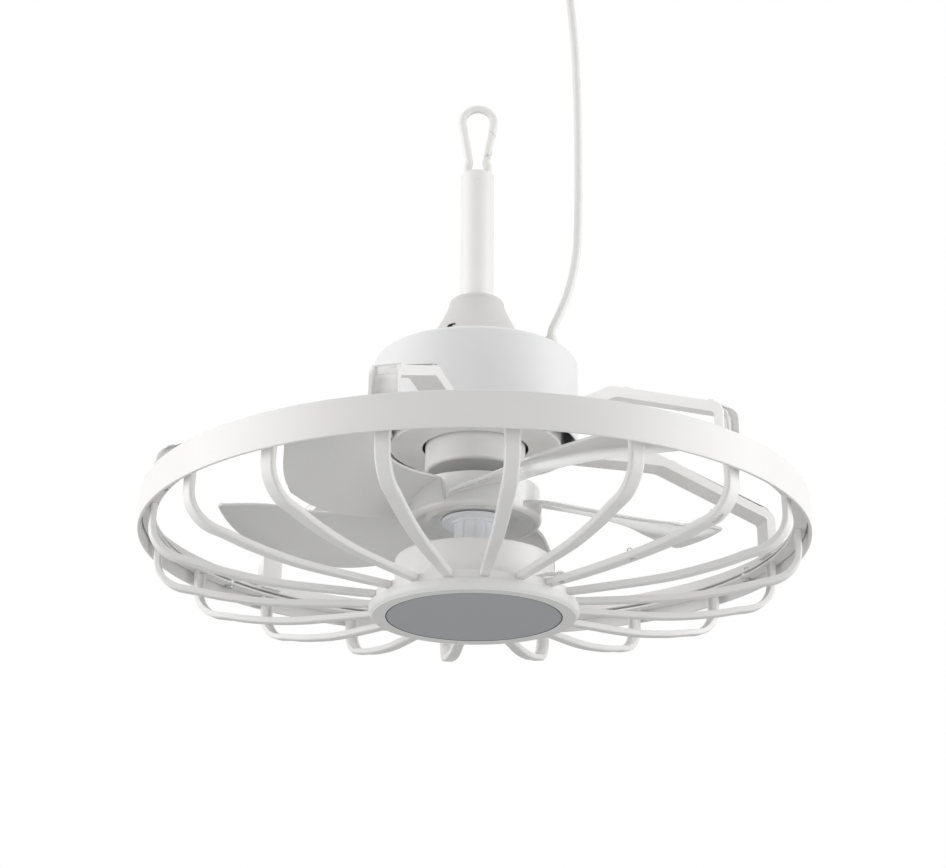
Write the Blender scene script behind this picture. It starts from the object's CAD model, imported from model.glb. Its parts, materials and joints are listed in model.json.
import json
import math

import bmesh
import bpy
from mathutils import Matrix, Vector

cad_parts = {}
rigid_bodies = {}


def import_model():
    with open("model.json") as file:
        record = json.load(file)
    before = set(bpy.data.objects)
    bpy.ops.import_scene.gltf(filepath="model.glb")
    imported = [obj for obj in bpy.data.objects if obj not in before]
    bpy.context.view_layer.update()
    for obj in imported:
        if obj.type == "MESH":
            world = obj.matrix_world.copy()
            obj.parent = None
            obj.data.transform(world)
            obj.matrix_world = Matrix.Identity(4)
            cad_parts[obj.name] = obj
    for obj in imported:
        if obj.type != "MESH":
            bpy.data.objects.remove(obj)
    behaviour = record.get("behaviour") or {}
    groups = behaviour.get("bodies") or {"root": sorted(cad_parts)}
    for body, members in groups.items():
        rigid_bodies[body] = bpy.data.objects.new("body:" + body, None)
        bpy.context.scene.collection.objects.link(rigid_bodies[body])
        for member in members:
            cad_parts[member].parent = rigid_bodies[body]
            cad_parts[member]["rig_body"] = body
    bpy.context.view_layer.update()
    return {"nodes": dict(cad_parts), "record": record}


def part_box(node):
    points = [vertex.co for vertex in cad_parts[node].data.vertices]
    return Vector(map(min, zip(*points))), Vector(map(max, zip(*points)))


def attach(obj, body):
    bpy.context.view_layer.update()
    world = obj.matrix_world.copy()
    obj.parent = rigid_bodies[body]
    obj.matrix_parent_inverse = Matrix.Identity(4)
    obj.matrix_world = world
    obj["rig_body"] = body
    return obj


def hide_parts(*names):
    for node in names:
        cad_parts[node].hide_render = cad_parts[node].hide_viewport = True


# A ceiling fan in a round rib cage. It hangs by a snap hook, and a light sits under its hub.
# Heights are counted from the top edge of the outer ring, and azimuth 0 is the front.
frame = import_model()
nodes = frame["nodes"]
ring_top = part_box("outer_ring")[1].z


# The camera stands in front of the fan and half a metre lower, and looks up at it through a
# short telephoto lens.
camera_back = 1.491
camera_drop = 0.5034
camera_side = -0.00203
camera_rise = math.radians(21.023)
camera_roll = math.radians(0.522)
image_width = 946
focal_length_px = 1966.5
camera = bpy.data.objects.new("camera", bpy.data.cameras.new("camera"))
camera.data.sensor_width = 36.0
camera.data.lens = camera.data.sensor_width * focal_length_px / image_width
camera.matrix_world = (
    Matrix.Translation((camera_side, -camera_back, ring_top - camera_drop))
    @ Matrix.Rotation(math.pi / 2 + camera_rise, 4, "X")
    @ Matrix.Rotation(camera_roll, 4, "Z")
)
scene = bpy.context.scene
scene.collection.objects.link(camera)
scene.camera = camera
scene.view_settings.view_transform = "Standard"


class Shade:
    """One output of a shader node. Operators add Math nodes, and node() adds any other kind."""

    def __init__(self, tree, socket=None):
        self.tree = tree
        self.socket = socket

    def node(self, kind, settings, inputs, output=0):
        made = self.tree.nodes.new(kind)
        for name, value in settings.items():
            if name == "stops":
                ramp = made.color_ramp
                for stop, (place, level) in zip(ramp.elements, value):
                    stop.position = place
                    stop.color = (level, level, level, 1)
            else:
                setattr(made, name, value)
        for name, value in inputs.items():
            if isinstance(value, Shade):
                self.tree.links.new(value.socket, made.inputs[name])
            else:
                made.inputs[name].default_value = value
        return Shade(self.tree, made.outputs[output])

    def maths(self, operation, first, second):
        return self.node("ShaderNodeMath", {"operation": operation}, {0: first, 1: second})

    def __add__(self, other):
        return self.maths("ADD", self, other)

    def __mul__(self, other):
        return self.maths("MULTIPLY", self, other)

    __radd__ = __add__
    __rmul__ = __mul__


def blank(owner, kind):
    """Empties a material's or a world's node tree, and gives it and its output's first socket."""
    owner.use_nodes = True
    owner.node_tree.nodes.clear()
    end = owner.node_tree.nodes.new(kind)
    return Shade(owner.node_tree), end.inputs["Surface"]


# White surroundings: what the camera and glossy surfaces see is plain white, and the light that
# reaches the fan from all round is softer than that.
surround_level = 0.33
world = bpy.data.worlds.new("studio")
scene.world = world
tree, surface = blank(world, "ShaderNodeOutputWorld")
seen = tree.node("ShaderNodeLightPath", {}, {}, "Is Camera Ray")
mirrored = tree.node("ShaderNodeLightPath", {}, {}, "Is Glossy Ray")
through = tree.node("ShaderNodeLightPath", {}, {}, "Is Transmission Ray")
white = seen.maths("MAXIMUM", seen.maths("MAXIMUM", seen, mirrored), through)
surround = tree.node(
    "ShaderNodeBackground", {},
    {"Color": (1.0, 1.0, 1.0, 1), "Strength": white * (1 - surround_level) + surround_level},
)
tree.tree.links.new(surround.socket, surface)


# A pale studio floor lies well under the hanging fan. The camera sees it a little brighter than
# the light that it throws back.
floor_drop = 1.3
floor_size = 200.0
shape = bmesh.new()
bmesh.ops.create_grid(shape, x_segments=1, y_segments=1, size=floor_size / 2)
bmesh.ops.translate(shape, verts=shape.verts, vec=(0, 0, ring_top - floor_drop))
floor = bpy.data.objects.new("floor", bpy.data.meshes.new("floor"))
shape.to_mesh(floor.data)
shape.free()
scene.collection.objects.link(floor)
floor_paint = bpy.data.materials.new("floor_paint")
tree, surface = blank(floor_paint, "ShaderNodeOutputMaterial")
place = tree.node("ShaderNodeTexCoord", {}, {}, "Object")
mottle = tree.node("ShaderNodeTexNoise", {}, {"Vector": place, "Scale": 3.0, "Detail": 3.0})
tone = tree.node("ShaderNodeValToRGB", {"stops": [(0.3, 0.56), (0.7, 0.6)]}, {"Fac": mottle})
shown = tree.node("ShaderNodeLightPath", {}, {}, "Is Camera Ray")
glow = tree.node(
    "ShaderNodeMix", {"data_type": "RGBA"}, {0: shown, 6: (0.0, 0.0, 0.0, 1), 7: tone}, 2,
)
coated = tree.node(
    "ShaderNodeBsdfPrincipled", {},
    {"Base Color": tone, "Roughness": 0.7, "Emission Color": glow, "Emission Strength": 0.4},
)
tree.tree.links.new(coated.socket, surface)
floor.data.materials.append(floor_paint)


# Two tall soft boxes stand left and right of the fan, a large one hangs over it, and a weak one
# shines up from under the camera.
def soft_box(name, position, width, height, power):
    lamp = bpy.data.lights.new(name, "AREA")
    lamp.shape = "RECTANGLE"
    lamp.size = width
    lamp.size_y = height
    lamp.energy = power
    stand = bpy.data.objects.new(name, lamp)
    stand.location = Vector(position) + Vector((0, 0, ring_top))
    aim = Vector((0, 0, 0.05)) - Vector(position)
    stand.rotation_euler = aim.to_track_quat("-Z", "Y").to_euler()
    stand.visible_camera = False
    scene.collection.objects.link(stand)


soft_box("left_box", (-1.66, -0.4, 0.1), 1.6, 2.2, 24.0)
soft_box("right_box", (1.66, -0.4, 0.1), 1.6, 2.2, 24.0)
soft_box("top_box", (0, -0.2, 1.9), 2.0, 1.6, 14.0)
soft_box("front_box", (0, -2.2, -1.0), 1.4, 1.4, 9.0)


# Finishes. Enamel, moulded plastic and plated metal differ in gloss and in the fine relief that
# paint, moulds and rolling leave.
def finish(name, colour, rough, relief, grain, shift=0.03, metal=0.0, coat=0.0, strength=0.05):
    """A coated, moulded or plated surface. relief and grain size its fine and coarse marks."""
    fine_rough = 0.06
    coarse_rough = 0.1
    even_rough = rough - (fine_rough + coarse_rough) / 2
    made = bpy.data.materials.new(name)
    tree, surface = blank(made, "ShaderNodeOutputMaterial")
    place = tree.node("ShaderNodeTexCoord", {}, {}, "Object")
    fine = tree.node(
        "ShaderNodeTexNoise", {}, {"Vector": place, "Scale": 1 / relief, "Detail": 2.0},
    )
    coarse = tree.node(
        "ShaderNodeTexNoise", {}, {"Vector": place, "Scale": 1 / grain, "Detail": 4.0},
    )
    darker = tuple(channel * (1 - shift) for channel in colour)
    tone = tree.node(
        "ShaderNodeMix", {"data_type": "RGBA"},
        {0: coarse, 6: (*darker, 1), 7: (*colour, 1)}, 2,
    )
    grit = tree.node(
        "ShaderNodeBump", {}, {"Height": fine, "Strength": strength, "Distance": relief / 4},
    )
    coated = tree.node(
        "ShaderNodeBsdfPrincipled", {},
        {
            "Base Color": tone, "Roughness": coarse * coarse_rough + fine * fine_rough + even_rough,
            "Normal": grit, "Metallic": metal, "Coat Weight": coat, "Coat Roughness": 0.12,
        },
    )
    tree.tree.links.new(coated.socket, surface)
    return made


enamel = finish("white_enamel", (0.91, 0.905, 0.89), 0.45, 0.0014, 0.03, coat=0.1)
cage_enamel = finish("cage_enamel", (0.85, 0.845, 0.835), 0.45, 0.0014, 0.03, coat=0.1)
powder_coat = finish("fine_powder_coat", (0.84, 0.84, 0.845), 0.55, 0.0011, 0.02, strength=0.12)
gloss_white = finish("moulded_white", (0.80, 0.798, 0.785), 0.16, 0.004, 0.05, coat=0.4)
satin_white = finish("satin_white", (0.84, 0.838, 0.83), 0.42, 0.0008, 0.03, strength=0.08)
matt_white = finish("matt_white", (0.68, 0.672, 0.655), 0.55, 0.0009, 0.03, strength=0.08)
frosted = finish("frosted_diffuser", (0.44, 0.445, 0.46), 0.55, 0.0006, 0.04, shift=0.02)
cool_grey = finish("cool_grey", (0.94, 0.95, 0.985), 0.2, 0.003, 0.02, coat=0.3)
zinc = finish("zinc_plate", (0.62, 0.63, 0.64), 0.34, 0.0005, 0.008, shift=0.14, metal=1.0)
copper = finish("enamelled_copper", (0.62, 0.30, 0.17), 0.3, 0.0007, 0.005, shift=0.3, metal=1.0)
black = finish("black_moulding", (0.035, 0.035, 0.038), 0.5, 0.0006, 0.01, shift=0.2)
sheath = finish("white_sheath", (0.86, 0.857, 0.845), 0.38, 0.0009, 0.02, strength=0.06)
board_white = finish("white_board", (0.8, 0.8, 0.78), 0.4, 0.0006, 0.01)
by_slot = {
    "white_paint": enamel, "gloss_plastic": gloss_white, "satin_plastic": satin_white,
    "nut_plastic": cool_grey, "steel": zinc, "copper": copper, "dark_plastic": black,
    "sheath": sheath, "board": board_white, "frosted": frosted,
}
for part in frame["record"]["subparts"]:
    nodes[part["node"]].data.materials.clear()
    nodes[part["node"]].data.materials.append(by_slot[part["material_slot"]])


# The mains cord: white round sheath of 7 mm, which climbs out of the can and hangs from the
# ceiling plug just above the view.
cord_diameter = 0.007
cord_route = [
    (0.062, 0, 0.136), (0.062, 0, 0.146), (0.062, 0, 0.156), (0.063, 0, 0.163),
    (0.0655, 0, 0.169), (0.069, 0, 0.177), (0.073, 0, 0.187), (0.0765, 0, 0.197),
    (0.0795, 0, 0.209), (0.082, 0, 0.221), (0.084, 0, 0.235), (0.085, 0, 0.250),
    (0.0856, 0, 0.267), (0.086, 0, 0.285), (0.0862, 0, 0.303), (0.0863, 0, 0.321),
    (0.0863, 0, 0.339), (0.0863, 0, 0.357), (0.0862, 0, 0.375), (0.0858, 0, 0.393),
    (0.0853, 0, 0.411), (0.0846, 0, 0.429), (0.0836, 0, 0.447), (0.0823, 0, 0.464),
    (0.081, 0, 0.479), (0.080, 0, 0.493), (0.080, 0, 0.503), (0.080, 0, 0.514),
]


def bent_line(name, route, diameter):
    """A round tube along a smooth line through the route's points."""
    curve = bpy.data.curves.new(name, "CURVE")
    curve.dimensions = "3D"
    curve.bevel_depth = diameter / 2
    curve.bevel_resolution = 5
    curve.resolution_u = 6
    curve.use_fill_caps = True
    line = curve.splines.new("BEZIER")
    line.bezier_points.add(len(route) - 1)
    for bend, (x, y, z) in zip(line.bezier_points, route):
        bend.co = (x, y, z + ring_top)
        bend.handle_left_type = "AUTO"
        bend.handle_right_type = "AUTO"
    made = bpy.data.objects.new(name, curve)
    scene.collection.objects.link(made)
    return made


cord = bent_line("mains_cord", cord_route, cord_diameter)
cord.data.materials.append(sheath)
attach(cord, "fan")
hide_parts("cord")


# The snap hook is one length of 7 mm steel wire, bent cold to an eye and a loop, with its nose cut
# at a slant. A flat tongue on its neck holds the rivet of the gate, a rod that closes the loop.
def piece(name, shape, body, paint, slot, *replaced, crease=60):
    """Makes a shape a piece on a body, in place of CAD nodes, smooth up to a crease in degrees."""
    for face in shape.faces:
        face.smooth = True
    for edge in shape.edges:
        edge.smooth = len(edge.link_faces) == 2 and edge.calc_face_angle() < math.radians(crease)
    mesh = bpy.data.meshes.new(name)
    shape.to_mesh(mesh)
    shape.free()
    mesh.materials.append(paint)
    made = bpy.data.objects.new(name, mesh)
    scene.collection.objects.link(made)
    shading = made.modifiers.new("even_shading", "WEIGHTED_NORMAL")
    shading.keep_sharp = True
    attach(made, body)
    if replaced:
        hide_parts(*replaced)
    return made


def soften(shape, width, segments=2, sharpest=30):
    """Rounds the edges that are sharper than an angle in degrees."""
    edges = [
        edge for edge in shape.edges
        if len(edge.link_faces) == 2 and edge.calc_face_angle() > math.radians(sharpest)
    ]
    bmesh.ops.bevel(
        shape, geom=edges, offset=width, segments=segments, profile=0.5,
        affect="EDGES", material=-1, clamp_overlap=True,
    )


def softened(node, width, name):
    """The shape of a CAD node with its flat faces joined and its edges rounded."""
    flat = 1.0
    shape = bmesh.new()
    shape.from_mesh(nodes[node].data)
    bmesh.ops.remove_doubles(shape, verts=shape.verts, dist=1e-5)
    bmesh.ops.dissolve_limit(
        shape, angle_limit=math.radians(flat), verts=shape.verts, edges=shape.edges,
        use_dissolve_boundaries=False, delimit={"NORMAL"},
    )
    soften(shape, width)
    part = next(p for p in frame["record"]["subparts"] if p["node"] == node)
    body = nodes[node]["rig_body"]
    slot = part["material_slot"]
    return piece(name, shape, body, by_slot[slot], slot, node, crease=20)


def rotate(shape, angle, axis):
    """Turns a shape about an axis through the origin."""
    bmesh.ops.rotate(
        shape, verts=shape.verts, cent=(0, 0, 0), matrix=Matrix.Rotation(angle, 3, axis),
    )


def drawn(shape, edges, shift, count=1):
    """Draws an open ring of edges out in a straight line, and gives the new ring."""
    for _ in range(count):
        grown = bmesh.ops.extrude_edge_only(shape, edges=edges)["geom"]
        fresh = {item for item in grown if isinstance(item, bmesh.types.BMVert)}
        edges = [
            item for item in grown
            if isinstance(item, bmesh.types.BMEdge) and item.verts[0] in fresh
            and item.verts[1] in fresh and len(item.link_faces) == 1
        ]
        bmesh.ops.translate(shape, verts=list(fresh), vec=Vector(shift) / count)
    return edges


def bent(shape, edges, centre, angle, count):
    """Bends an open ring of edges round a centre in the XZ plane, and gives the new ring."""
    corners = list({vert for edge in edges for vert in edge.verts})
    spun = bmesh.ops.spin(
        shape, geom=corners + edges, cent=(centre[0], 0, centre[1]), axis=(0, 1, 0),
        angle=math.radians(angle), steps=count,
    )["geom_last"]
    return [item for item in spun if isinstance(item, bmesh.types.BMEdge)]


wire = 0.007
eye_r = 0.0085
eye_z = 0.2947
eye_side = 0.0195
waist_turn = 25.0
waist_r = 0.006
loop_r = 0.01365
leg_lean = 9.65
leg_length = 0.03577
nose_length = 0.009
nose_slant = 33.0
wire_end = 0.001
wire_edge = 0.0005
tongue_t = 0.0026
tongue_r = 0.003
tongue_drop = 0.001
tongue_edge = 0.0002
hinge_rise = 0.0045
gate_edge = 0.0004
lean = math.radians(leg_lean)
slant = lean + math.radians(nose_slant)
waist = math.radians(waist_turn)
waist_low = (eye_r - waist_r, eye_z + eye_side)
waist_high = (
    waist_low[0] + 2 * waist_r * math.cos(waist), waist_low[1] + 2 * waist_r * math.sin(waist),
)
along_leg = Vector((math.sin(lean), 0, math.cos(lean)))
neck = Vector((
    waist_high[0] - waist_r * math.cos(lean), 0, waist_high[1] + waist_r * math.sin(lean),
))
nose = neck + along_leg * (leg_length - nose_length)
leg_end = neck + along_leg * leg_length
loop_z = leg_end.z + loop_r * math.sin(lean)
shape = bmesh.new()
bmesh.ops.create_circle(shape, cap_ends=False, segments=32, radius=wire / 2)
rotate(shape, lean, "Y")
bmesh.ops.translate(shape, verts=shape.verts, vec=nose - along_leg * wire)
ring = drawn(shape, list(shape.edges), along_leg * (nose_length + wire))
bmesh.ops.bisect_plane(
    shape, geom=shape.verts[:] + shape.edges[:] + shape.faces[:], clear_inner=True,
    plane_co=nose, plane_no=(math.sin(slant), 0, math.cos(slant)),
)
ring = [
    edge for edge in shape.edges
    if all(abs((vert.co - leg_end).dot(along_leg)) < 1e-6 for vert in edge.verts)
]
ring = bent(shape, ring, (0, loop_z), -180 - 2 * leg_lean, 48)
ring = drawn(shape, ring, (along_leg.x * leg_length, 0, -along_leg.z * leg_length))
ring = bent(shape, ring, (-waist_high[0], waist_high[1]), waist_turn + leg_lean, 10)
ring = bent(shape, ring, (-waist_low[0], waist_low[1]), -waist_turn, 8)
ring = drawn(shape, ring, (0, 0, -eye_side))
ring = bent(shape, ring, (0, eye_z), -180, 36)
ring = drawn(shape, ring, (0, 0, eye_side))
ring = bent(shape, ring, waist_low, -waist_turn, 8)
ring = bent(shape, ring, waist_high, waist_turn + leg_lean, 10)
ring = drawn(shape, ring, along_leg * wire_end)
bmesh.ops.remove_doubles(shape, verts=shape.verts, dist=1e-6)
open_edges = [edge for edge in shape.edges if edge.is_boundary]
bmesh.ops.holes_fill(shape, edges=open_edges, sides=0)
bmesh.ops.recalc_face_normals(shape, faces=shape.faces)
soften(shape, wire_edge, sharpest=50)
bmesh.ops.translate(shape, verts=shape.verts, vec=(0, 0, ring_top))
piece("snap_hook", shape, "hook", enamel, "white_paint", "hook_body")
shape = bmesh.new()
bmesh.ops.create_circle(shape, cap_ends=True, segments=32, radius=tongue_r)
lower = [vert for vert in shape.verts if vert.co.y < -1e-4]
bmesh.ops.translate(shape, verts=lower, vec=(0, -tongue_drop, 0))
bmesh.ops.solidify(shape, geom=list(shape.faces), thickness=tongue_t)
rotate(shape, math.pi / 2, "X")
rotate(shape, lean, "Y")
middle = sum((vert.co for vert in shape.verts), Vector()) / len(shape.verts)
hinge = neck + along_leg * hinge_rise
bmesh.ops.translate(shape, verts=shape.verts, vec=hinge + Vector((0, -middle.y, ring_top)))
bmesh.ops.recalc_face_normals(shape, faces=shape.faces)
soften(shape, tongue_edge, segments=1, sharpest=50)
piece("hook_tongue", shape, "hook", enamel, "white_paint")
softened("hook_gate", gate_edge, "gate")


# The can is a cup of sheet steel, deep drawn with a round corner and open below. It is finished
# in a fine, cooler white powder coat.
def turned(outline, edge=0.0003, steps=192):
    """Turns an outline of radius and height about the fan's axis, and eases its corners."""
    shape = bmesh.new()
    corners = [shape.verts.new((radius, 0, height + ring_top)) for radius, height in outline]
    for first, second in zip(corners, corners[1:] + corners[:1]):
        shape.edges.new((first, second))
    bmesh.ops.spin(
        shape, geom=shape.verts[:] + shape.edges[:], cent=(0, 0, 0), axis=(0, 0, 1),
        angle=2 * math.pi, steps=steps, use_merge=True,
    )
    bmesh.ops.remove_doubles(shape, verts=shape.verts, dist=1e-6)
    bmesh.ops.recalc_face_normals(shape, faces=shape.faces)
    soften(shape, edge)
    return shape


def arc(centre, radius, start, end, count=8):
    """Points on a round corner, from one angle to another in degrees."""
    angles = [math.radians(start + (end - start) * step / count) for step in range(count + 1)]
    return [(centre[0] + radius * math.cos(a), centre[1] + radius * math.sin(a)) for a in angles]


can_low, can_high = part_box("upper_can")
can_r = can_high.x
can_base = can_low.z - ring_top
can_top = can_high.z - ring_top
can_edge = 0.004
can_wall = 0.0015
can_hole_r = 0.007
can_corner = (can_r - can_edge, can_top - can_edge)
piece(
    "can", turned(
        [(can_r, can_base)] + arc(can_corner, can_edge, 0, 90, 10)
        + [(can_hole_r, can_top), (can_hole_r, can_top - can_wall)]
        + arc(can_corner, can_edge - can_wall, 90, 0, 6) + [(can_r - can_wall, can_base)],
    ), "fan", powder_coat, "white_paint", "upper_can",
)


# The outer ring is a rolled steel band with a flange inside, which carries the arms above it and
# the hoop of the cage below it. Both are enamelled white.
ring_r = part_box("outer_ring")[1].x
ring_wall = 0.0025
ring_height = 0.027
flange_top = -0.011
flange_t = 0.002
flange_in = 0.252
ring_edge = 0.0006
ring_steps = 288
inside = ring_r - ring_wall
piece(
    "ring", turned(
        [
            (ring_r, -ring_height), (inside, -ring_height), (inside, flange_top - flange_t),
            (flange_in, flange_top - flange_t), (flange_in, flange_top), (inside, flange_top),
            (inside, 0), (ring_r, 0),
        ], ring_edge, ring_steps,
    ), "fan", cage_enamel, "white_paint", "outer_ring",
)
hoop_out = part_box("cage_hoop")[1].x
hoop_in = 0.251
hoop_top = -0.0152
hoop_t = 0.002
hoop_edge = 0.0004
piece(
    "hoop", turned(
        [
            (hoop_in, hoop_top - hoop_t), (hoop_out, hoop_top - hoop_t),
            (hoop_out, hoop_top), (hoop_in, hoop_top),
        ], hoop_edge, ring_steps,
    ), "fan", cage_enamel, "white_paint", "cage_hoop",
)


# The cage's eighteen ribs are pressed channels, open to the inside, with a rounded back. Each one
# leaves the hoop upright, goes through a tight bend and a long one to the light's collar, and
# bows a little where the bends meet. One is wider, with slots for the light's lead.
rib_count = 18
first_azimuth = -14.4
rib_top = hoop_top - hoop_t
rib_depth = 0.0048
rib_wall = 0.0016
rib_inset = 0.0015
rib_r = hoop_in + rib_depth / 2 + rib_inset
rib_upright = 0.0133
tight_bend = 0.030
rib_end_r = 0.08005
rib_end_z = -0.0724
rib_width = 0.011
rib_end_width = 0.008
rib_flare = 0.0024
rib_edge = 0.0004
bow = 0.0015
foot_bow = 0.0009
low_reach = (0.166, 0.036)
high_reach = (0.228, 0.015)
foot_reach = (-0.0430, 0.0095)
bend_centre = (rib_r - tight_bend, rib_top - rib_upright)
long_run = bend_centre[0] - rib_end_r
long_turn = 2 * math.atan((bend_centre[1] - tight_bend - rib_end_z) / long_run)
long_bend = long_run / math.sin(long_turn) + tight_bend


def cut(shape, tool):
    """Takes one closed shape out of another, and gives what is left."""
    solids = []
    for form in (shape, tool):
        mesh = bpy.data.meshes.new("solid")
        form.to_mesh(mesh)
        form.free()
        solids.append(bpy.data.objects.new("solid", mesh))
        scene.collection.objects.link(solids[-1])
    taken = solids[0].modifiers.new("taken", "BOOLEAN")
    taken.operation = "DIFFERENCE"
    taken.solver = "EXACT"
    taken.object = solids[1]
    left = solids[0].evaluated_get(bpy.context.evaluated_depsgraph_get())
    result = bmesh.new()
    result.from_mesh(left.to_mesh())
    for solid in solids:
        mesh = solid.data
        bpy.data.objects.remove(solid)
        bpy.data.meshes.remove(mesh)
    return result


def block(length, width, height, corner, place, tilt=0.0, turn=0.0):
    """A block with rounded upright corners, tilted about Y and then turned about Z, to cut with."""
    shape = bmesh.new()
    bmesh.ops.create_cube(shape, size=1.0)
    bmesh.ops.scale(shape, verts=shape.verts, vec=(length, width, height))
    upright = [
        edge for edge in shape.edges
        if abs(edge.verts[0].co.z - edge.verts[1].co.z) > height / 2
    ]
    bmesh.ops.bevel(
        shape, geom=upright, offset=corner, segments=5, profile=0.5, affect="EDGES", material=-1,
    )
    rotate(shape, -tilt, "Y")
    bmesh.ops.translate(shape, verts=shape.verts, vec=place)
    rotate(shape, turn, "Z")
    return shape


def bump(place, middle, reach):
    """A smooth bump of height 1 round a middle place, which fades out over its reach."""
    return math.exp(-((place - middle) / reach) ** 2)


def rib_place(radius):
    """The height of a rib's middle over the ring's top edge, and its slope, at a radius."""
    long_reach = (radius - rib_end_r) / long_bend
    if long_reach < math.sin(long_turn):
        slope = math.asin(long_reach)
        return rib_end_z + long_bend * (1 - math.cos(slope)), slope
    slope = math.asin((radius - bend_centre[0]) / tight_bend)
    return bend_centre[1] - tight_bend * math.cos(slope), slope


def rib_shape(extra=0.0, sag=bow):
    """A rib along +X: the channel's section, drawn down, spun round both bends, bowed and tapered.

    The section is written in shares of the rib's width and depth, from its middle.
    """
    half = 0.5
    round_across = 0.17
    round_out = 0.38
    floor_share = 0.7
    wall_foot = 0.02
    back = [(half, half), (half, round_out - half)]
    for turn in (math.radians(22.5), math.radians(45), math.radians(67.5), math.radians(90)):
        across = half - round_across * (1 - math.cos(turn))
        back.append((across, round_out - half - round_out * math.sin(turn)))
    inner = half - rib_wall / rib_width
    floor_depth = rib_wall / rib_depth - half
    channel = [(inner * floor_share, floor_depth), (inner, wall_foot), (inner, half)]
    side = channel + back
    outline = side + [(-across, out) for across, out in reversed(side)]
    shape = bmesh.new()
    ring = [
        shape.verts.new((rib_r - out * rib_depth, across * rib_width, rib_top))
        for across, out in outline
    ]
    edges = [shape.edges.new(pair) for pair in zip(ring, ring[1:] + ring[:1])]
    edges = drawn(shape, edges, (0, 0, -rib_upright), 6)
    edges = bent(shape, edges, bend_centre, 90 - math.degrees(long_turn), 20)
    edges = bent(shape, edges, (rib_end_r, rib_end_z + long_bend), math.degrees(long_turn), 24)
    for vert in shape.verts:
        radius, height = vert.co.x, vert.co.z
        vert.co.z += bow * bump(radius, *high_reach) - sag * bump(radius, *low_reach)
        if radius > bend_centre[0]:
            vert.co.x += foot_bow * bump(height, *foot_reach)
        length = max(0.0, min(1.0, (vert.co.x - rib_end_r) / long_run))
        rise = max(0.0, min(1.0, (vert.co.z - bend_centre[1]) / rib_upright))
        width = rib_end_width + (rib_width - rib_end_width) * length ** 0.8
        vert.co.y *= (width + rib_flare * rise ** 2 + extra) / rib_width
    open_edges = [item for item in shape.edges if item.is_boundary]
    bmesh.ops.holes_fill(shape, edges=open_edges, sides=0)
    bmesh.ops.recalc_face_normals(shape, faces=shape.faces)
    return shape


wired_rib = 4
wired_extra = 0.002
wire_slots = [(0.240, 0.011), (0.161, 0.007), (0.092, 0.007)]
wire_slot_width = 0.005
wire_slot_depth = 0.02
for number in range(1, rib_count + 1):
    wired = number == wired_rib
    shape = rib_shape(wired_extra, 0.0) if wired else rib_shape()
    if wired:
        for radius, length in wire_slots:
            height, slope = rib_place(radius)
            tool = block(
                length, wire_slot_width, wire_slot_depth, wire_slot_width / 2.2,
                (radius, 0, height), slope,
            )
            shape = cut(shape, tool)
    soften(shape, rib_edge, sharpest=55)
    bmesh.ops.translate(shape, verts=shape.verts, vec=(0, 0, ring_top))
    turn = math.radians(first_azimuth + 360 / rib_count * (number - 1) - 90)
    rotate(shape, turn, "Z")
    piece(
        "cage_rib_wired" if wired else f"cage_rib_{number}", shape,
        "fan", cage_enamel, "white_paint", "wire_rib" if wired else f"rib_{number}",
    )


# The six arms are folded channels of 2 mm sheet, enamelled white. They are screwed to the chassis
# in the can and to the ring's flange, and carry the ring.
arm_count = 6
arm_edge = 0.0004
for number in range(1, arm_count + 1):
    softened(f"arm_{number}", arm_edge, f"arm_{number}_folded")


# The down rod is a steel tube, painted white with its flush cross pins in it. The bell is a spun
# cover that slides on it and hides its foot, with a round shoulder, a trumpet of a skirt and a
# slot over its set screw.
rod_edge = 0.0003
softened("downrod", rod_edge, "down_rod")
nodes["rod_pins"].data.materials.clear()
nodes["rod_pins"].data.materials.append(enamel)
bell_top = can_top + 0.0574
bell_bore = 0.0141
bell_neck = 0.0229
bell_shoulder = 0.0044
bell_wall = 0.0012
shoulder_centre = (bell_neck - bell_shoulder, bell_top - bell_shoulder)
bell_bends = [(bell_neck, 0.052), (0.0265, 0.0398), (0.0399, 0.018), (0.0485, 0.001)]
bell_foot = 0.05
bell_foot_wall = 0.0014
slot_tall = 0.0046
slot_wide = 0.0085
slot_corner = 0.0021
slot_reach = 0.03
slot_azimuth = -34.0
slot_place = (0.046, 0, can_top + 0.0222 + ring_top)


def swept(bends, count=14):
    """Points on a smooth line from the first of four bends to the last."""
    points = []
    for step in range(count + 1):
        t = step / count
        weights = ((1 - t) ** 3, 3 * t * (1 - t) ** 2, 3 * t * t * (1 - t), t ** 3)
        radius = sum(weight * bend[0] for weight, bend in zip(weights, bends))
        height = sum(weight * bend[1] for weight, bend in zip(weights, bends))
        points.append((radius, height))
    return points


bell_skirt = [(radius, height + can_top) for radius, height in swept(bell_bends)]
bell_shape = cut(
    turned(
        [(bell_bore, bell_top)] + arc(shoulder_centre, bell_shoulder, 90, 0)
        + bell_skirt + [(bell_foot, can_top), (bell_foot - bell_foot_wall, can_top)]
        + [(radius - bell_wall, height) for radius, height in reversed(bell_skirt)]
        + arc(shoulder_centre, bell_shoulder - bell_wall, 0, 90)
        + [(bell_bore, bell_top - bell_wall)],
    ),
    block(
        slot_tall, slot_wide, slot_reach, slot_corner, slot_place,
        tilt=math.pi / 2, turn=math.radians(slot_azimuth - 90),
    ),
)
piece("bell", bell_shape, "fan", matt_white, "white_paint", "bell_cover")


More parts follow.
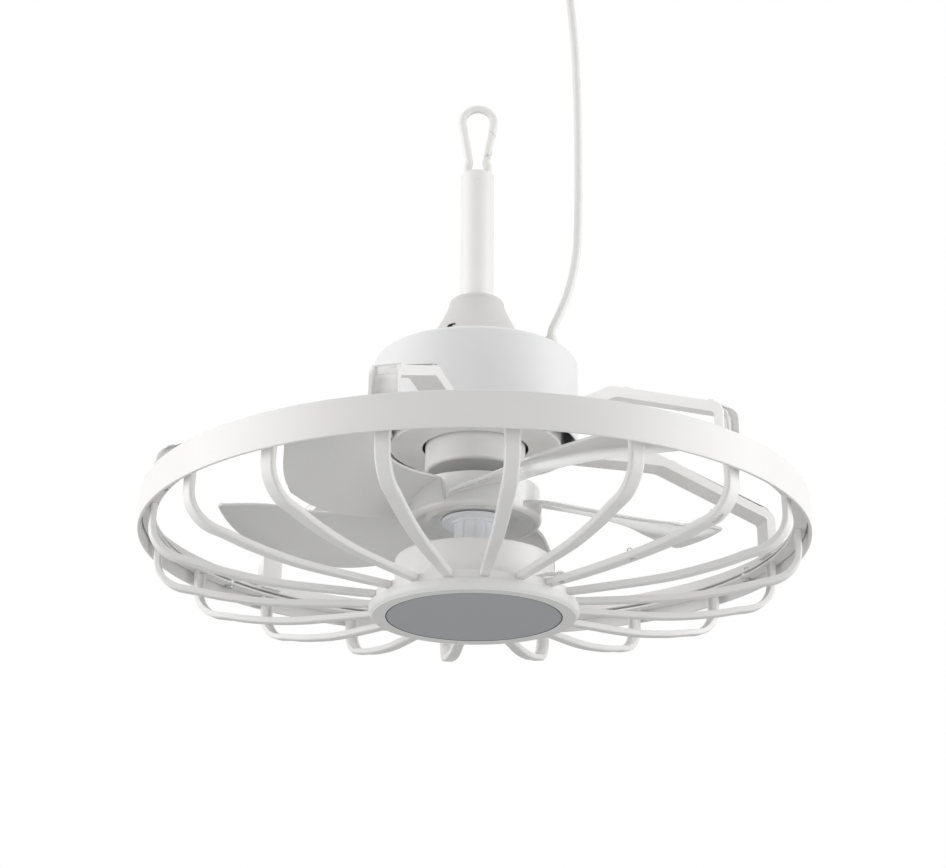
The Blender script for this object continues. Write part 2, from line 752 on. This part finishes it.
# The dish is a flat spun pan that closes the can's mouth. The motor's drawn cup comes down
# through its hole. Both are enamelled white.
dish_low, dish_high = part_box("dish_cover")
dish_r = dish_high.x
dish_base = dish_low.z - ring_top
dish_top = dish_high.z - ring_top
dish_hole_r = 0.043
dish_wall = 0.0015
dish_corner = 0.002
piece(
    "dish", turned(
        [(dish_hole_r, dish_base)]
        + arc((dish_r - dish_corner, dish_base + dish_corner), dish_corner, -90, 0, 6)
        + [(dish_r, dish_top), (dish_r - dish_wall, dish_top)]
        + [(dish_r - dish_wall, dish_base + dish_wall), (dish_hole_r, dish_base + dish_wall)],
    ), "fan", enamel, "white_paint", "dish_cover",
)
case_low, case_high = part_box("motor_case")
case_r = case_high.x
case_base = case_low.z - ring_top
case_top = case_high.z - ring_top
case_wall = 0.0015
case_corner = 0.003
shaft_hole_r = 0.0055
piece(
    "motor_cup", turned(
        [(shaft_hole_r, case_base)]
        + arc((case_r - case_corner, case_base + case_corner), case_corner, -90, 0, 8)
        + [(case_r, case_top), (case_r - case_wall, case_top)]
        + [(case_r - case_wall, case_base + case_wall), (shaft_hole_r, case_base + case_wall)],
    ), "fan", enamel, "white_paint", "motor_case",
)


# The rotor is one gloss white moulding: a hub like a bowl, and five twisted blades that run from
# the skirts round its wall to their square tips. A fluted plastic nut holds it on the shaft.
hub_r = 0.0536
hub_top = 0.0195
hub_base = -0.0085
hub_wall = 0.0026
skirt_step = 0.0014
hub_rim = 0.0045
hub_lip = hub_base + 0.0054
hub_floor = hub_base + 0.0050
hub_edge = 0.0004
hub_hole_r = 0.0245
wall_in = hub_r - hub_wall
wall_out = hub_r - skirt_step
underside = [
    (hub_hole_r, 0.0042), (0.0335, 0.0036), (0.0370, 0.0016),
    (0.0465, 0.0012), (0.0480, 0.0003), (0.0490, 0.0),
]
piece(
    "rotor_hub", turned(
        [(hub_hole_r, hub_floor)] + [(radius, hub_base + rise) for radius, rise in underside]
        + arc((hub_r - hub_rim, hub_base + hub_rim), hub_rim, -90, 0, 10)
        + [(hub_r, hub_lip), (wall_out, hub_lip + hub_edge)]
        + [(wall_out, hub_top), (wall_in, hub_top), (wall_in, hub_floor)],
        hub_edge,
    ), "rotor", gloss_white, "gloss_plastic", "fan_rotor",
)
blade_count = 5
blade_azimuth = -24.8
blade_sink = 0.0012
blade_root = wall_out - blade_sink
blade_tip = 0.208
blade_t = 0.0026
blade_chord = 0.11
blade_bulge = 0.006
bulge_start = 0.15
rim_share = 0.44
tip_corner = 0.004
tip_corner_start = 0.88
low_turn = [0, 17, 28.7, 39, 53.9]
low_height = [-0.0004, -0.0072, -0.0124, -0.0097, 0.0044]
high_turn = [65.3, 62.1, 65.6, 73.3, 76]
high_height = [0.0158, 0.0127, 0.0115, 0.013, 0.011]
skirt_lean = 5.0
skirt_sink = 0.0006
skirt_inset = 0.0001
skirt_foot = hub_lip - 0.0004
skirt_edge = 0.0005


def curve_at(values, share):
    """The value of a smooth curve through the values, at a share of its length."""
    last = len(values) - 1
    place = share * last
    first = min(int(place), last - 1)
    t = place - first
    a, b, c, d = (values[max(0, min(last, first + k))] for k in (-1, 0, 1, 2))
    return (
        b + t * (c - a) / 2 + t * t * (a - 2.5 * b + 2 * c - d / 2)
        + t * t * t * (1.5 * (b - c) + (d - a) / 2)
    )


def blade_point(u, v):
    """A point of the first blade's middle face; u runs from hub to tip, v from low to high edge."""
    near_corner = max(0.0, abs(2 * v - 1) - tip_corner_start) / (1 - tip_corner_start)
    tip = blade_tip - tip_corner * near_corner ** 3
    radius = blade_root + (tip - blade_root) * u
    turn = curve_at(low_turn, u) * (1 - v) + curve_at(high_turn, u) * v
    height = curve_at(low_height, u) * (1 - v) + curve_at(high_height, u) * v
    height += blade_bulge * v * (1 - v) * math.sin(math.pi * min(1.0, u + bulge_start))
    angle = math.radians(blade_azimuth + turn - 90)
    return Vector((radius * math.cos(angle), radius * math.sin(angle), height + ring_top))


def blade_shape(azimuth):
    """A flat slab with a round rim, laid on the blade's curved face and turned to its place."""
    length = blade_tip - blade_root
    step = 0.002
    shape = bmesh.new()
    bmesh.ops.create_grid(shape, x_segments=48, y_segments=36, size=0.5)
    bmesh.ops.scale(shape, verts=shape.verts, vec=(length, blade_chord, 1))
    bmesh.ops.solidify(shape, geom=shape.faces[:], thickness=blade_t)
    middle = sum(vert.co.z for vert in shape.verts) / len(shape.verts)
    bmesh.ops.translate(shape, verts=shape.verts, vec=(0, 0, -middle))
    soften(shape, blade_t * rim_share, segments=3, sharpest=60)
    for vert in shape.verts:
        u = max(0.0, min(1.0, vert.co.x / length + 0.5))
        v = max(0.0, min(1.0, vert.co.y / blade_chord + 0.5))
        along = blade_point(min(1.0, u + step), v) - blade_point(max(0.0, u - step), v)
        across = blade_point(u, min(1.0, v + step)) - blade_point(u, max(0.0, v - step))
        vert.co = blade_point(u, v) + along.cross(across).normalized() * vert.co.z
    bmesh.ops.recalc_face_normals(shape, faces=shape.faces)
    rotate(shape, azimuth, "Z")
    return shape


def skirt_shape(azimuth):
    """The skirt under a blade: a bent plate whose top follows the root and whose end leans."""
    shape = bmesh.new()
    bmesh.ops.create_grid(shape, x_segments=28, y_segments=4, size=0.5)
    bmesh.ops.solidify(shape, geom=shape.faces[:], thickness=1.0)
    nearest = min(vert.co.z for vert in shape.verts)
    for vert in shape.verts:
        v = vert.co.x + 0.5
        rise = vert.co.y + 0.5
        top = low_height[0] * (1 - v) + high_height[0] * v
        turn = high_turn[0] * v + skirt_lean * v * (1 - rise)
        radius = hub_r - skirt_inset if vert.co.z > nearest + 0.5 else wall_out - skirt_sink
        angle = math.radians(blade_azimuth + turn - 90)
        height = skirt_foot + (top - skirt_foot) * rise
        vert.co = (radius * math.cos(angle), radius * math.sin(angle), height + ring_top)
    bmesh.ops.recalc_face_normals(shape, faces=shape.faces)
    soften(shape, skirt_edge, segments=3, sharpest=55)
    rotate(shape, azimuth, "Z")
    return shape


for number in range(1, blade_count + 1):
    azimuth = 2 * math.pi / blade_count * (number - 1)
    piece(f"blade_{number}", blade_shape(azimuth), "rotor", gloss_white, "gloss_plastic")
    piece(f"blade_skirt_{number}", skirt_shape(azimuth), "rotor", gloss_white, "gloss_plastic")
nut_edge = 0.0004
softened("spinner_nut", nut_edge, "wing_nut")


# The light's housing is a drum of sheet steel with a wider collar below, enamelled white. A
# moulded satin ring closes it, and holds the frosted diffuser in a thin black seal.
drum_r = 0.0629
drum_top = -0.0379
drum_base = -0.0692
collar_r = 0.080
collar_base = -0.0768
light_wall = 0.0015
lead_hole_r = 0.006
edge_r = 0.001
drum_corner = 0.0025
drum_inner = drum_r - light_wall
collar_inner = collar_r - light_wall
pocket_azimuth = -26.7
pocket_depth = 0.0009
pocket_width = 0.015
pocket_height = 0.006
pocket_corner = 0.0002
cut_over = 0.001
pocket_place = (
    collar_r - pocket_depth / 2 + cut_over, 0,
    drum_base - pocket_height / 2 + cut_over + ring_top,
)
drum_shape = cut(
    turned(
        [(collar_r, collar_base)] + arc((collar_r - edge_r, drum_base - edge_r), edge_r, 0, 90, 4)
        + arc((drum_r + edge_r, drum_base + edge_r), edge_r, 270, 180, 4)
        + arc((drum_r - drum_corner, drum_top - drum_corner), drum_corner, 0, 90, 6)
        + [(lead_hole_r, drum_top), (lead_hole_r, drum_top - light_wall)]
        + [(drum_inner, drum_top - light_wall), (drum_inner, drum_base - light_wall)]
        + [(collar_inner, drum_base - light_wall), (collar_inner, collar_base)],
    ),
    block(
        pocket_depth + 2 * cut_over, pocket_width, pocket_height + 2 * cut_over, pocket_corner,
        pocket_place, turn=math.radians(pocket_azimuth - 90),
    ),
)
piece("light_drum", drum_shape, "fan", enamel, "white_paint", "light_housing")
trim_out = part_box("trim_ring")[1].x
trim_base = -0.0852
trim_height = 0.0084
trim_face = 0.0032
trim_step = 0.001
diffuser_r = 0.0694
lip_r = 0.0008
lip_foot = 0.0006
bezel_r = 0.005
trim_in = collar_r - 0.003
seat_r = diffuser_r + 0.002
piece(
    "trim", turned(
        [(diffuser_r, trim_base + lip_foot)]
        + arc((diffuser_r + lip_r, trim_base + lip_r), lip_r, 180, 270, 4)
        + [(collar_r, trim_base)]
        + arc((trim_out - bezel_r, trim_base + bezel_r), bezel_r, -62, 0, 8)
        + [(trim_out, trim_base + trim_height), (trim_in, trim_base + trim_height)]
        + [(trim_in, trim_base + trim_face), (seat_r, trim_base + trim_face)]
        + [(seat_r, trim_base + trim_step), (diffuser_r, trim_base + trim_step)],
    ), "fan", satin_white, "satin_plastic", "trim_ring",
)
face_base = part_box("diffuser")[0].z - ring_top
seal_in = diffuser_r - 0.0007
seal_out = diffuser_r + 0.0001
seal_base = face_base - 0.0002
seal_top = face_base + 0.0004
seal_edge = 0.0001
piece(
    "diffuser_seal", turned(
        [(seal_in, seal_base), (seal_out, seal_base), (seal_out, seal_top), (seal_in, seal_top)],
        seal_edge,
    ), "fan", black, "dark_plastic",
)
